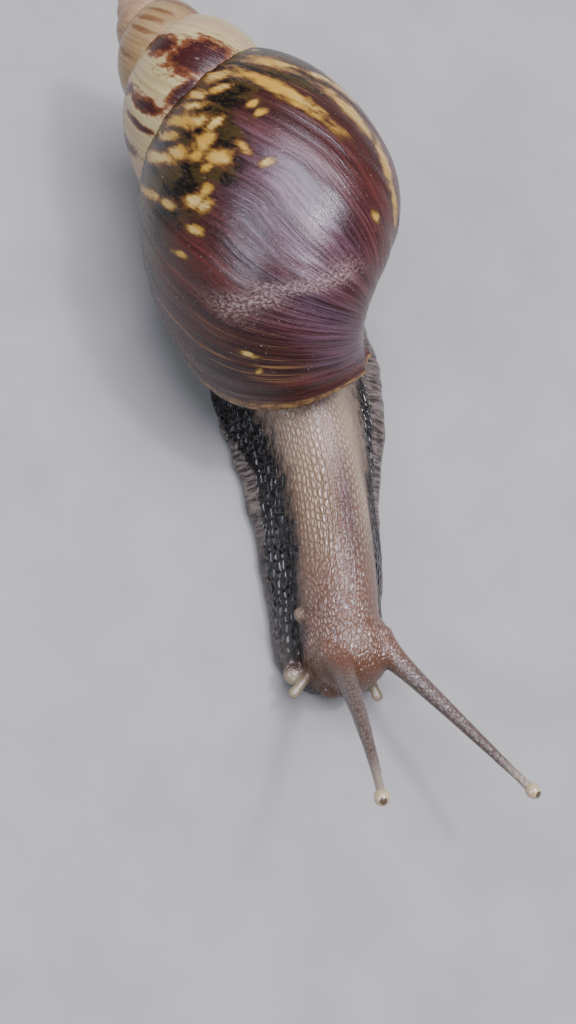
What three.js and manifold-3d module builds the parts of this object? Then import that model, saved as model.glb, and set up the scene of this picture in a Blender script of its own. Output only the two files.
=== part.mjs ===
// Giant African land snail (Lissachatina fulica), crawling, as a still life-size model.
// Millimetres, +Z up, floor at z = 0. The animal faces -Y; its right side is towards -X.

import * as THREE from 'three';
import { mergeVertices } from 'three/addons/utils/BufferGeometryUtils.js';
import Module from 'manifold-3d';

const wasm = await Module();
wasm.setup();

// ---------------------------------------------------------------- driving dimensions

const GAP = 0.3;                       // clearance between neighbouring pieces
const SMALLEST = 0.04;                 // detail that a cut's facets may lose
const MIDDLE = [32.29, 87.08];         // centre of the animal's plan, moved to the origin

// The shell is a dextral helicospiral: a section that shrinks by fixed ratios in each whorl.
const SHELL = {
  apex: [0.9, 140.7, 26.7],            // tip of the spiral's cone
  azimuth: 125.1,                      // where the spire points, degrees from +X
  elevation: 4.9,                      // how far it points up, degrees
  roll: -133.2,                        // turn of the lip about the spire's axis, degrees
  radius: 25.3,                        // widest radius of the last whorl at the lip
  radialRatio: 1.611,                  // growth of the radius in one whorl
  axialRatio: 1.832,                   // growth of the height in one whorl
  innerShare: 0.186,                   // radius of the columella, as a share of the radius
  peak: 2.318,                         // height of the widest line, in radii below the apex
  upperBulge: 1.273,                   // section's reach above that line, in radii
  lowerBulge: 1.006,                   // and below it
  squareness: 2.467,                   // exponent of the section's lower half
  sutureAngle: -57.75 * Math.PI / 180, // section angle where it meets the whorl before
  lipLean: 0.214,                      // share of a turn by which the lip leads at the suture
  lipPower: 1.15,
  whorls: 6,
  wall: 1.0,                           // thickness at the aperture
  mouthDepth: 0.06,                    // depth of the open aperture, as a share of a turn
};

// Stations along the animal, from the snout to the tail's tip: place of the mid-line, half width
// of the foot, half width and height of the back, and how far the back leans to the animal's left.
const STATIONS = [
  { x: 39.3, y: 33.6, foot: 3.6, back: 3.0, height: 7.0, lean: 0 },
  { x: 39.1, y: 35.5, foot: 6.4, back: 5.4, height: 11.0, lean: 0 },
  { x: 38.6, y: 39.5, foot: 8.5, back: 8.2, height: 14.8, lean: 0.3 },
  { x: 38.1, y: 46.0, foot: 9.1, back: 8.8, height: 15.8, lean: 0.5 },
  { x: 37.4, y: 56.0, foot: 10.1, back: 8.7, height: 16.4, lean: 0.3 },
  { x: 36.2, y: 66.0, foot: 11.4, back: 8.6, height: 17.0, lean: 0 },
  { x: 35.2, y: 76.0, foot: 13.6, back: 9.3, height: 18.6, lean: -2.0 },
  { x: 33.6, y: 86.0, foot: 14.9, back: 9.6, height: 24.0, lean: -6.5 },
  { x: 31.4, y: 97.0, foot: 14.0, back: 9.6, height: 24.0, lean: -7.5 },
  { x: 28.8, y: 109.0, foot: 12.8, back: 9.6, height: 11.0, lean: -1.5 },
  { x: 25.6, y: 121.0, foot: 11.6, back: 9.0, height: 8.6, lean: 0 },
  { x: 21.6, y: 134.0, foot: 9.5, back: 6.6, height: 7.8, lean: 0 },
  { x: 17.4, y: 147.0, foot: 6.4, back: 4.0, height: 5.4, lean: 0 },
  { x: 14.2, y: 157.0, foot: 2.9, back: 1.7, height: 2.9, lean: 0 },
  { x: 13.2, y: 160.5, foot: 1.3, back: 0.8, height: 1.8, lean: 0 },
];

const FRINGE = {
  width: 2.7,                          // skirt of the foot outside the sole
  height: 2.6,
  edge: 0.9,                           // height of its rounded rim
  wave: 0.3,                           // ripple of the rim
  pitch: 12.0,
};

// Where the body is parted, as places along STATIONS (0 is the first, 1 the last).
const PARTING = { head: 2.55, neck: 4.6, trunk: 6.6, back: 9.6 };

const HEAD = {
  centre: [40.1, 39.1, 9.2],
  radii: [6.4, 6.9, 6.0],
  chin: 3.9,                           // height where the foot's front ends under the head
};

// Tentacles run from a root in the head to the centre of the tip's bulb. bend pulls the middle of
// an upper tentacle's line off the straight, by twice what it moves.
const UPPER = { base: 0.55, swell: 1.15, taper: 1.2, flare: 1.5, flareLength: 0.08, bulb: 1.05 };
const LOWER = { radius: 0.72, bulb: 0.85 };
const FEELERS = {
  left: { root: [43.7, 39.7, 11.2], tip: [63.2, 17.1, 21.0], bend: [0.2, 0.3, -0.8] },
  right: { root: [37.6, 37.2, 11.8], tip: [38.0, 14.5, 35.0], bend: [1.0, 0, 0.4] },
};
const PALPS = {
  left: { root: [43.0, 37.6, 6.2], tip: [45.1, 32.4, 5.9] },
  right: { root: [35.6, 36.6, 6.2], tip: [32.2, 32.4, 5.9] },
};
const LAPPETS = {
  left: [43.9, 35.0, 4.2],
  right: [32.4, 35.7, 4.4],
};
const LAPPET_RADII = [1.7, 1.9, 1.3];

const COLOURS = {
  bodyWhorl: 0x4a1f22,
  penultimate: 0x9a7d57,
  spire: 0xa8906e,
  apex: 0xc7a288,
  collar: 0x9c8468,
  neck: 0x8b7260,
  back: 0x6f5a4c,
  tail: 0x5d4b41,
  fringe: 0x2f2728,
  head: 0x8d6a5b,
  feeler: 0x75625a,
  bulb: 0xbfa88f,
  pale: 0xa89c8e,
};

// ---------------------------------------------------------------- solids

/** A closed three.js geometry as a manifold solid, turned right side out. */
function solidOf(geometry) {
  const plain = geometry.clone();
  plain.deleteAttribute('normal');
  plain.deleteAttribute('uv');
  const merged = mergeVertices(plain, 1e-4);
  const make = (triangles) => new wasm.Manifold(new wasm.Mesh({
    numProp: 3,
    vertProperties: new Float32Array(merged.attributes.position.array),
    triVerts: new Uint32Array(triangles),
  }));
  const body = make(merged.index.array);
  if (body.volume() > 0) {
    return body;
  }
  const flipped = Array.from(merged.index.array);
  for (let i = 0; i < flipped.length; i += 3) {
    [flipped[i], flipped[i + 1]] = [flipped[i + 1], flipped[i]];
  }
  return make(flipped);
}

/** The largest piece of a solid, so that a cut leaves no crumbs. */
function largest(body) {
  const pieces = body.decompose();
  return pieces.reduce((best, piece) => (piece.volume() > best.volume() ? piece : best));
}

/** Joins a list of solids. */
function join(bodies) {
  return bodies.reduce((all, body) => all.add(body));
}

/** A solid that follows a row of closed rings with the same number of points. */
function loft(rings) {
  const count = rings[0].length;
  const points = rings.flat();
  const index = [];
  for (let i = 0; i < rings.length - 1; i += 1) {
    for (let j = 0; j < count; j += 1) {
      const a = i * count + j;
      const b = i * count + (j + 1) % count;
      index.push(a, b, a + count, b, b + count, a + count);
    }
  }
  for (const end of [0, rings.length - 1]) {
    const middle = new THREE.Vector3();
    rings[end].forEach((point) => middle.addScaledVector(point, 1 / count));
    points.push(middle);
    const hub = points.length - 1;
    for (let j = 0; j < count; j += 1) {
      const a = end * count + j;
      const b = end * count + (j + 1) % count;
      index.push(...(end === 0 ? [hub, b, a] : [hub, a, b]));
    }
  }
  const geometry = new THREE.BufferGeometry().setFromPoints(points);
  geometry.setIndex(index);
  return solidOf(geometry);
}

/** An ellipsoid. */
function ellipsoid(centre, radii, segments = 20) {
  const geometry = new THREE.SphereGeometry(1, segments, Math.round(segments * 0.6));
  geometry.scale(...radii);
  geometry.translate(...centre);
  return solidOf(geometry);
}

/** A box given by its two corners. */
function block(low, high) {
  const size = low.map((value, i) => high[i] - value);
  const geometry = new THREE.BoxGeometry(...size);
  geometry.translate(...low.map((value, i) => value + size[i] / 2));
  return solidOf(geometry);
}

/** A round tube along a curve, with a radius for each place on it, made longer at its start. */
function tube(curve, radiusAt, steps, sides, longer) {
  const rings = [];
  const up = new THREE.Vector3(0, 0, 1);
  for (let i = 0; i <= steps; i += 1) {
    const place = i / steps;
    const along = curve.getTangent(place);
    const across = new THREE.Vector3().crossVectors(along, up).normalize();
    const over = new THREE.Vector3().crossVectors(across, along);
    const centre = curve.getPoint(place).addScaledVector(along, i === 0 ? -longer : 0);
    const ring = [];
    for (let j = 0; j < sides; j += 1) {
      const angle = j / sides * 2 * Math.PI;
      const point = centre.clone();
      point.addScaledVector(across, radiusAt(place) * Math.cos(angle));
      point.addScaledVector(over, radiusAt(place) * Math.sin(angle));
      ring.push(point);
    }
    rings.push(ring);
  }
  return loft(rings);
}

/** The solid as a named mesh, without facets too small to matter. */
function piece(name, body, colour, roughness = 0.55) {
  const mesh = largest(body.simplify(SMALLEST)).getMesh();
  const geometry = new THREE.BufferGeometry();
  geometry.setAttribute('position', new THREE.BufferAttribute(new Float32Array(mesh.vertProperties), 3));
  geometry.setIndex(new THREE.BufferAttribute(new Uint32Array(mesh.triVerts), 1));
  const material = new THREE.MeshStandardMaterial({ color: colour, roughness, metalness: 0 });
  const result = new THREE.Mesh(geometry, material);
  result.name = name;
  return result;
}

// ---------------------------------------------------------------- shell

const RADIANS = Math.PI / 180;
const SECTION_STEPS = 13;
const TURN_STEPS = 22;
const THIRD = 1 / 3;

/** Places the shell: its own z runs up the spire's axis, its own x towards the lip. */
const shellPlace = (() => {
  const { apex, azimuth, elevation, roll } = SHELL;
  const axis = new THREE.Vector3(
    Math.cos(elevation * RADIANS) * Math.cos(azimuth * RADIANS),
    Math.cos(elevation * RADIANS) * Math.sin(azimuth * RADIANS),
    Math.sin(elevation * RADIANS),
  );
  const level = new THREE.Vector3().crossVectors(axis, new THREE.Vector3(0, 0, 1)).normalize();
  const steep = new THREE.Vector3().crossVectors(level, axis);
  const lip = level.multiplyScalar(Math.cos(roll * RADIANS));
  lip.addScaledVector(steep, Math.sin(roll * RADIANS));
  const third = new THREE.Vector3().crossVectors(axis, lip);
  return new THREE.Matrix4().makeBasis(lip, third, axis).setPosition(...apex);
})();

/** Radius and depth of the whorl's section at an angle, in radii of the whorl. */
function sectionAt(angle) {
  const cosine = Math.cos(angle);
  const sine = Math.sin(angle);
  const power = sine > 0 ? 2 / SHELL.squareness : 1;
  const radius = SHELL.innerShare + (1 - SHELL.innerShare) * Math.abs(cosine) ** power;
  const reach = sine > 0 ? SHELL.lowerBulge * sine ** power : SHELL.upperBulge * sine;
  return [radius, SHELL.peak + reach];
}

/** A point of the shell: turns back from the lip, place from suture (0) to base (1), growth. */
function shellPoint(turns, place, grow) {
  const angle = SHELL.sutureAngle + (Math.PI / 2 - SHELL.sutureAngle) * place;
  const [radius, depth] = sectionAt(angle);
  const [nearRadius, nearDepth] = sectionAt(Math.min(angle + 0.01, Math.PI / 2));
  const [farRadius, farDepth] = sectionAt(angle - 0.01);
  const normal = new THREE.Vector2(nearDepth - farDepth, farRadius - nearRadius).normalize();
  const age = turns + SHELL.lipLean * place ** SHELL.lipPower;
  const across = SHELL.radius * SHELL.radialRatio ** -age;
  const along = SHELL.radius * SHELL.axialRatio ** -age;
  return onAxis(across * radius + grow * normal.x, along * depth + grow * normal.y, age);
}

/** A point given by its distance from the spire's axis, its depth below the apex and its age. */
function onAxis(distance, depth, age) {
  const turn = 2 * Math.PI * age;
  return new THREE.Vector3(distance * Math.cos(turn), distance * Math.sin(turn), -depth);
}

/** One closed section of a whorl, shut off at a share of its radius from the axis. */
function whorlRing(turns, grow, core) {
  const ring = [];
  for (let i = 0; i <= SECTION_STEPS; i += 1) {
    ring.push(shellPoint(turns, i / SECTION_STEPS, grow));
  }
  for (const place of [1, 0.5, 0]) {
    const age = turns + SHELL.lipLean * place ** SHELL.lipPower;
    const along = SHELL.radius * SHELL.axialRatio ** -age;
    const across = SHELL.radius * SHELL.radialRatio ** -age;
    const top = sectionAt(SHELL.sutureAngle)[1];
    const base = SHELL.peak + SHELL.lowerBulge;
    const depth = along * THREE.MathUtils.lerp(top, base, place) + grow * (2 * place - 1);
    ring.push(onAxis(across * core, depth, age));
  }
  return ring.map((point) => point.applyMatrix4(shellPlace));
}

/** The whorls between two ages as one solid, grown by a clearance. */
function whorls(from, to, { grow = 0, core = 0.02, steps = TURN_STEPS } = {}) {
  const parts = Math.max(1, Math.ceil((to - from) / THIRD - 1e-6));
  const bodies = [];
  for (let part = 0; part < parts; part += 1) {
    const start = from + (to - from) * part / parts;
    const end = from + (to - from) * (part + 1) / parts;
    const count = Math.max(2, Math.ceil((end - start) * steps));
    const rings = [];
    for (let i = 0; i <= count; i += 1) {
      rings.push(whorlRing(start + (end - start) * i / count, grow, core));
    }
    bodies.push(loft(rings));
  }
  return join(bodies);
}

/** The slim cone that closes the middle of the coil. */
function columella(from, to, grow = 0) {
  const depthAt = (age) => SHELL.radius * SHELL.axialRatio ** -age * (SHELL.peak + 0.2);
  const radiusAt = (age) => SHELL.radius * SHELL.radialRatio ** -age * 0.06 + grow;
  const outline = [
    new THREE.Vector2(0, -depthAt(from)),
    new THREE.Vector2(radiusAt(from), -depthAt(from)),
    new THREE.Vector2(radiusAt(to), -depthAt(to)),
    new THREE.Vector2(0, -depthAt(to)),
  ];
  const geometry = new THREE.LatheGeometry(outline, 12);
  geometry.rotateX(Math.PI / 2);
  geometry.applyMatrix4(shellPlace);
  return solidOf(geometry);
}

/** The shell in four lengths, from the aperture to the apex. */
function shellPieces() {
  const lengths = [
    { name: 'shell_body_whorl', from: 0, to: 1, colour: COLOURS.bodyWhorl, steps: 26 },
    { name: 'shell_penultimate_whorl', from: 1, to: 2, colour: COLOURS.penultimate, steps: 20 },
    { name: 'shell_spire', from: 2, to: 4, colour: COLOURS.spire, steps: 13 },
    { name: 'shell_apex', from: 4, to: SHELL.whorls, colour: COLOURS.apex, steps: 9 },
  ];
  const before = [];
  return lengths.map(({ name, from, to, colour, steps }) => {
    let body = whorls(from, to, { steps }).add(columella(from + 0.3, to + 1));
    if (from === 0) {
      body = body.subtract(apertureFill(0, -0.02, SHELL.mouthDepth));
    }
    before.forEach((older) => {
      body = body.subtract(older);
    });
    const past = to + 0.004 * SHELL.radialRatio ** to;
    before.push(whorls(from, past, { grow: GAP, steps }).add(columella(from + 0.25, to + 1.3, GAP)));
    return piece(name, largest(body), colour, 0.35);
  });
}

/** What fills the aperture inside the shell's wall, shrunk by a clearance. */
function apertureFill(shrink, from, to) {
  const grow = -SHELL.wall - shrink;
  const mouth = whorls(from, to, { grow, core: 0.13 + shrink / SHELL.radius, steps: 50 });
  const parietal = whorls(0.7, 1.3, { grow: SHELL.wall + shrink });
  return largest(mouth.subtract(parietal));
}

// ---------------------------------------------------------------- body

const LAST = STATIONS.length - 1;
const midline = new THREE.CatmullRomCurve3(
  STATIONS.map(({ x, y }) => new THREE.Vector3(x, y, 0)), false, 'centripetal');
const sizes = new THREE.CatmullRomCurve3(
  STATIONS.map(({ foot, back, height }) => new THREE.Vector3(foot, back, height)), false, 'catmullrom', 0.4);
const leans = new THREE.CatmullRomCurve3(
  STATIONS.map(({ lean }) => new THREE.Vector3(lean, 0, 0)), false, 'catmullrom', 0.4);

/** Mid-line point, sideways direction (towards the animal's left) and sizes at a station. */
function bodyAt(station) {
  const place = THREE.MathUtils.clamp(station / LAST, 0, 1);
  const along = midline.getTangent(place);
  const left = new THREE.Vector3(along.y, -along.x, 0).normalize();
  const size = sizes.getPoint(place);
  const lean = leans.getPoint(place).x;
  return { centre: midline.getPoint(place), left, foot: size.x, back: size.y, height: size.z, lean };
}

/** A ring across the body above its sole: flared at the foot, arched at the back. */
function backRing(station, points = 18) {
  const { centre, left, foot, back, height, lean } = bodyAt(station);
  const skirt = Math.min(FRINGE.width, foot * 0.4);
  const sole = foot - skirt;
  const rim = Math.min(FRINGE.height, height * 0.5);
  const ring = [];
  for (let i = 0; i <= points; i += 1) {
    const angle = Math.PI * i / points;
    const arch = Math.sin(angle);
    const flare = (sole - back) * Math.exp(-((arch / 0.35) ** 2));
    const across = Math.cos(angle) * (back + flare) + lean * arch;
    ring.push(at(centre, left, across, rim + (height - rim) * arch));
  }
  for (const share of [-1, -0.5, 0, 0.5, 1]) {
    ring.push(at(centre, left, sole * share, 0));
  }
  return ring;
}

/** A point beside the mid-line at a height. */
function at(centre, left, across, height) {
  return centre.clone().addScaledVector(left, across).setZ(height);
}

/** A ring across the foot's skirt on one side: flat below, with a rounded rim. */
function fringeRing(station, side) {
  const { centre, left, foot, height } = bodyAt(station);
  const skirt = Math.min(FRINGE.width, foot * 0.4);
  const inner = foot - skirt + GAP;
  const ripple = FRINGE.wave * Math.sin(2 * Math.PI * centre.y / FRINGE.pitch);
  const outer = foot + ripple * Math.min(1, foot / 8);
  const top = Math.min(FRINGE.height, height * 0.5);
  const rim = Math.min(FRINGE.edge, top * 0.5);
  const outline = [
    [inner, 0],
    [outer - rim * 0.6, 0],
    [outer, rim * 0.6],
    [outer - rim * 0.3, rim * 1.4],
    [THREE.MathUtils.lerp(inner, outer, 0.45), top * 0.88],
    [inner, top],
  ];
  return outline.map(([across, level]) => at(centre, left, side * across, level));
}

/** A length of the body between two stations. */
function bodyLength(from, to, ringAt, step) {
  const count = Math.max(2, Math.round((to - from) / step));
  const rings = [];
  for (let i = 0; i <= count; i += 1) {
    rings.push(ringAt(from + (to - from) * i / count));
  }
  return loft(rings);
}

/** Half of the clearance, in stations, at a place where the body is parted. */
function halfGap(station) {
  const step = midline.getPoint((station + 0.5) / LAST).distanceTo(midline.getPoint((station - 0.5) / LAST));
  return GAP / 2 / step;
}

const AXIS_ROOM = 3.2;                 // flesh stays this far from the slim cone on the axis
const filledShell = join([
  whorls(-0.012, 2, { grow: GAP }),
  columella(0, 3, AXIS_ROOM),
  whorls(2, 4, { grow: GAP, steps: 16 }),
]);

/** Neck, trunk and tail: lengths of the back, cut free of the shell. */
function backPieces() {
  const lengths = [
    { name: 'neck_front', from: PARTING.head, to: PARTING.neck, colour: COLOURS.neck },
    { name: 'neck_rear', from: PARTING.neck, to: PARTING.trunk, colour: COLOURS.neck },
    { name: 'trunk', from: PARTING.trunk, to: PARTING.back, colour: COLOURS.back },
    { name: 'tail', from: PARTING.back, to: LAST, colour: COLOURS.tail },
  ];
  return lengths.map(({ name, from, to, colour }) => {
    const end = to === LAST ? LAST : to - halfGap(to);
    const body = bodyLength(from + halfGap(from), end, backRing, 0.36);
    return piece(name, largest(body.subtract(filledShell)), colour, 0.5);
  });
}

/** The foot's skirt on both sides, from under the head to the tail's tip. */
function fringePieces() {
  const middle = 7.2;
  return [['left', 1], ['right', -1]].flatMap(([name, side]) => {
    const ringAt = (station) => fringeRing(station, side);
    const front = bodyLength(PARTING.head + halfGap(PARTING.head), middle - 0.02, ringAt, 0.2);
    const rear = bodyLength(middle + 0.02, LAST - 0.05, ringAt, 0.22);
    return [
      piece(`foot_fringe_${name}_front`, largest(front.subtract(filledShell)), COLOURS.fringe),
      piece(`foot_fringe_${name}_rear`, largest(rear.subtract(filledShell)), COLOURS.fringe),
    ];
  });
}

/** The whole front end: a domed head over the blunt front of the foot. */
function frontEnd() {
  const end = PARTING.head - halfGap(PARTING.head);
  const ringAt = (station) => {
    const { centre, left, foot, back, height } = bodyAt(station);
    const ring = [];
    for (let i = 0; i <= 18; i += 1) {
      const angle = Math.PI * i / 18;
      const arch = Math.sin(angle);
      const flare = (foot - back) * Math.exp(-((arch / 0.35) ** 2));
      ring.push(at(centre, left, Math.cos(angle) * (back + flare), 1.2 + (height - 1.2) * arch));
    }
    for (const share of [-1, -0.5, 0, 0.5, 1]) {
      ring.push(at(centre, left, (foot - 0.8) * share, 0));
    }
    return ring;
  };
  return bodyLength(0, end, ringAt, 0.26);
}

/** A feeler's line, bowed between its root and its tip. */
function feelerLine({ root, tip, bend }) {
  const start = new THREE.Vector3(...root);
  const end = new THREE.Vector3(...tip);
  const middle = start.clone().lerp(end, 0.5).add(new THREE.Vector3(...bend));
  return new THREE.QuadraticBezierCurve3(start, middle, end);
}

/** Radius of an upper tentacle from its root (0) to its tip (1). */
function feelerRadius(place) {
  const flare = UPPER.flare * Math.exp(-place / UPPER.flareLength);
  return UPPER.base + UPPER.swell * (1 - place) ** UPPER.taper + flare;
}

/** A tall slab across the body, for cutting at a station. */
function slabRing(station) {
  const { centre, left } = bodyAt(station);
  return [[-30, -5], [30, -5], [30, 40], [-30, 40]].map(([across, level]) => at(centre, left, across, level));
}

/** An upper tentacle up to its bulb, grown by a clearance. */
function stalkSolid(side, grow) {
  const stalk = tube(feelerLine(FEELERS[side]), (place) => feelerRadius(place) + grow, 14, 10, grow);
  return stalk.subtract(ellipsoid(FEELERS[side].tip, Array(3).fill(UPPER.bulb + GAP), 10));
}

/** A lower tentacle with its small bulb, grown by a clearance. */
function palpSolid(side, grow) {
  const stalk = tube(feelerLine({ ...PALPS[side], bend: [0, 0, 0] }), () => LOWER.radius + grow, 3, 8, grow);
  return stalk.add(ellipsoid(PALPS[side].tip, Array(3).fill(LOWER.bulb + grow), 10));
}

/** A soft lobe beside the mouth, grown by a clearance. */
function lappetSolid(side, grow) {
  return ellipsoid(LAPPETS[side], LAPPET_RADII.map((radius) => radius + grow), 12);
}

/** Head, foot front, both pairs of tentacles, eyes and mouth lappets. */
function headPieces() {
  const end = PARTING.head - halfGap(PARTING.head);
  const behind = bodyLength(end, end + 1.5, slabRing, 0.5);
  const front = frontEnd();
  const dome = ellipsoid(HEAD.centre, HEAD.radii, 20).subtract(behind);
  let head = front.add(dome).intersect(block([0, 0, HEAD.chin], [80, 80, 60]));
  let foot = front.intersect(block([0, 0, -1], [80, 80, HEAD.chin - GAP]));
  const pieces = [];
  for (const side of ['left', 'right']) {
    head = head.subtract(stalkSolid(side, GAP)).subtract(palpSolid(side, GAP));
    head = head.subtract(lappetSolid(side, GAP));
    foot = foot.subtract(lappetSolid(side, GAP)).subtract(palpSolid(side, GAP));
    const lappet = lappetSolid(side, 0).subtract(palpSolid(side, GAP));
    const bulb = ellipsoid(FEELERS[side].tip, Array(3).fill(UPPER.bulb), 10);
    pieces.push(piece(`tentacle_upper_${side}`, largest(stalkSolid(side, 0)), COLOURS.feeler, 0.45));
    pieces.push(piece(`eye_${side}`, bulb, COLOURS.bulb, 0.3));
    pieces.push(piece(`tentacle_lower_${side}`, palpSolid(side, 0), COLOURS.pale, 0.4));
    pieces.push(piece(`mouth_lappet_${side}`, largest(lappet), COLOURS.pale, 0.4));
  }
  pieces.push(piece('head', largest(head), COLOURS.head, 0.45));
  pieces.push(piece('foot_front', largest(foot), COLOURS.fringe));
  return pieces;
}

// ---------------------------------------------------------------- assembly

const group = new THREE.Group();
group.name = 'giant_african_land_snail';
group.position.set(-MIDDLE[0], -MIDDLE[1], 0);
group.add(...shellPieces());
group.add(piece('mantle_collar', apertureFill(GAP, 0.004, SHELL.mouthDepth - 0.02), COLOURS.collar));
group.add(...backPieces());
group.add(...fringePieces());
group.add(...headPieces());

export default group;
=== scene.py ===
"""Giant African land snail, crawling: shell, one-piece skin, eyes and studio."""

import math
from functools import partial

import bpy
import numpy as np
from bpy.props import FloatProperty, FloatVectorProperty, IntProperty, PointerProperty
from bpy.types import Operator, Panel, PropertyGroup
from mathutils import Matrix


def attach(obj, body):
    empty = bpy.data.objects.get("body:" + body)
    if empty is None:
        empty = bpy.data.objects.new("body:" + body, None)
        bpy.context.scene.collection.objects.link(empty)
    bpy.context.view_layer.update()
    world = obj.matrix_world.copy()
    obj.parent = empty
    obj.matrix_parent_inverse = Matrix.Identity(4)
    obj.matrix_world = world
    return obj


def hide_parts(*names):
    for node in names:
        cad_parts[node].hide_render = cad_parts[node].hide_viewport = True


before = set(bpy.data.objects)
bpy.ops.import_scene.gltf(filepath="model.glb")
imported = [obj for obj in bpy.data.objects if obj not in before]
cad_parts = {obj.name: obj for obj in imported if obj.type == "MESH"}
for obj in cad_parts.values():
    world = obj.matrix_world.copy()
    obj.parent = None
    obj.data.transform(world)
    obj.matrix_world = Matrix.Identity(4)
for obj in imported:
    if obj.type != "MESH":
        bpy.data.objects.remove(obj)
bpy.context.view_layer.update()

bl_info = {
    "name": "Giant African land snail",
    "version": (1, 0, 0),
    "blender": (4, 5, 0),
    "location": "3D View > Sidebar > Snail",
    "description": "Builds a life-size crawling land snail with a spiral shell",
    "category": "Add Mesh",
}

MM = 0.001

# Lengths are in millimetres. The frame's origin is the middle of the animal's plan.
PLAN_MIDDLE = np.array([32.29, 87.08, 0.0])

# ---- sizes shared with the solids

APEX = np.array([0.9, 140.7, 26.7])
SPIRE_AZIMUTH = math.radians(125.1)
SPIRE_ELEVATION = math.radians(4.9)
LIP_ROLL = math.radians(-133.2)
SHELL_RADIUS = 25.3
RADIAL_RATIO = 1.611
AXIAL_RATIO = 1.832
INNER_SHARE = 0.186
SECTION_PEAK = 2.318
UPPER_BULGE = 1.273
LOWER_BULGE = 1.006
SQUARENESS = 2.467
SUTURE_ANGLE = math.radians(-57.75)
LIP_LEAN = 0.214
LIP_POWER = 1.15
LAST_TURN = 5.2

# The oldest whorl is a dome on the spire's axis: its centre's depth and its radii across and along.
DOME_DEPTH = 2.6
DOME_RADII = (2.15, 2.15, 1.58)

# Growth behind the lip of the wall's inside, and of the collar's two ends. The collar lies a
# little less than the wall's thickness inside the shell's outer side, so no gap shows.
INSIDE_DEPTH = 16.0
COLLAR_DEPTHS = (1.2, 6.0)
COLLAR_GAP = 0.8

# Growth kept on the inside of the wall, to tell it from the outside, where growth starts at 0.
INSIDE_GROWTH = -2.0

# Length of the whole spiral at the lip's radius, and of the section from suture to base.
SPIRAL_LENGTH = 2 * math.pi * SHELL_RADIUS / math.log(RADIAL_RATIO)
SECTION_LENGTH = 58.0

# Place of the mid-line, half width of the foot, half width, height and lean of the back.
STATIONS = np.array([
    (39.3, 33.6, 3.6, 3.0, 7.0, 0.0),
    (39.1, 35.5, 6.4, 5.4, 11.0, 0.0),
    (38.6, 39.5, 8.5, 8.2, 14.8, 0.3),
    (38.1, 46.0, 9.1, 8.8, 15.8, 0.5),
    (37.4, 56.0, 10.1, 8.7, 16.4, 0.3),
    (36.2, 66.0, 11.4, 8.6, 17.0, 0.0),
    (35.2, 76.0, 13.6, 9.3, 18.6, -2.0),
    (33.6, 86.0, 14.9, 9.6, 24.0, -6.5),
    (31.4, 97.0, 14.0, 9.6, 24.0, -7.5),
    (28.8, 109.0, 12.8, 9.6, 11.0, -1.5),
    (25.6, 121.0, 11.6, 9.0, 8.6, 0.0),
    (21.6, 134.0, 9.5, 6.6, 7.8, 0.0),
    (17.4, 147.0, 6.4, 4.0, 5.4, 0.0),
    (14.2, 157.0, 2.9, 1.7, 2.9, 0.0),
    (13.2, 160.5, 1.3, 0.8, 1.8, 0.0),
])
HEAD_CENTRE = (40.1, 39.1, 9.2)
HEAD_RADII = (6.4, 6.9, 6.0)

# Root, tip and bend of the upper tentacles, root and tip of the lower ones.
UPPER_FEELERS = {
    "left": ((43.7, 39.7, 11.2), (63.2, 17.1, 21.0), (0.2, 0.3, -0.8)),
    "right": ((37.6, 37.2, 11.8), (38.0, 14.5, 35.0), (1.0, 0.0, 0.4)),
}
LOWER_FEELERS = {
    "left": ((43.0, 37.6, 6.2), (45.1, 32.4, 5.9)),
    "right": ((35.6, 36.6, 6.2), (32.2, 32.4, 5.9)),
}
SIDES = ("left", "right")

# Upper tentacle's radius at the tip, what it gains towards the root and the power of that gain,
# and the flare at the root with its share of the length.
UPPER_RADIUS = 0.55
UPPER_GAIN = 1.15
UPPER_POWER = 1.2
UPPER_FLARE = 1.5
FLARE_SHARE = 0.08
LOWER_RADIUS = 0.72
LOWER_BULB = 0.85
LAPPETS = {"left": (43.9, 35.0, 4.2), "right": (32.4, 35.7, 4.4)}
LAPPET_RADII = (1.7, 1.9, 1.3)
EYE_BULB = 1.05

SKIN_NODES = [
    "mantle_collar", "neck_front", "neck_rear", "trunk", "tail", "head", "foot_front",
    "foot_fringe_left_front", "foot_fringe_left_rear",
    "foot_fringe_right_front", "foot_fringe_right_rear",
    "tentacle_upper_left", "tentacle_upper_right", "tentacle_lower_left", "tentacle_lower_right",
    "mouth_lappet_left", "mouth_lappet_right",
]
SHELL_NODES = ["shell_body_whorl", "shell_penultimate_whorl", "shell_spire", "shell_apex"]

# ---- forms of the skin alone

# What of the skin lies lower than this is pressed towards the floor, for a flat sole.
SOLE_BAND = 0.35

# Centres and radii of the lips and of the pore's pale nodule.
LIPS = [(38.0, 33.2, 5.4), (41.0, 33.2, 5.4)]
LIP_RADII = (1.7, 1.5, 1.7)
BIRTH_PORE = (32.3, 43.6, 9.8)
PORE_RADII = (0.9, 1.2, 1.0)

# Sizes of the tubercles: along the neck; across, along and up on the head; along and across the
# tentacles.
NECK_CELL = 1.3
HEAD_CELL = (0.56, 0.95, 0.56)
TENTACLE_CELL = (0.9, 0.42, 0.42)

# Heights of the relief; the neck's falls from its front to the shell.
NECK_RELIEF = (0.2, 0.1)
HEAD_RELIEF = 0.13
FLANK_RELIEF = 0.42
EDGE_RELIEF = 0.55
TENTACLE_RELIEF = 0.06
GRAIN_RELIEF = 0.05

# Shares of the half girth, from the middle of the back, where the black flanks begin and are full.
RIGHT_FLANK = (0.37, 0.60)
LEFT_FLANK = (0.56, 0.78)

# ---- marks of the shell

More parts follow.
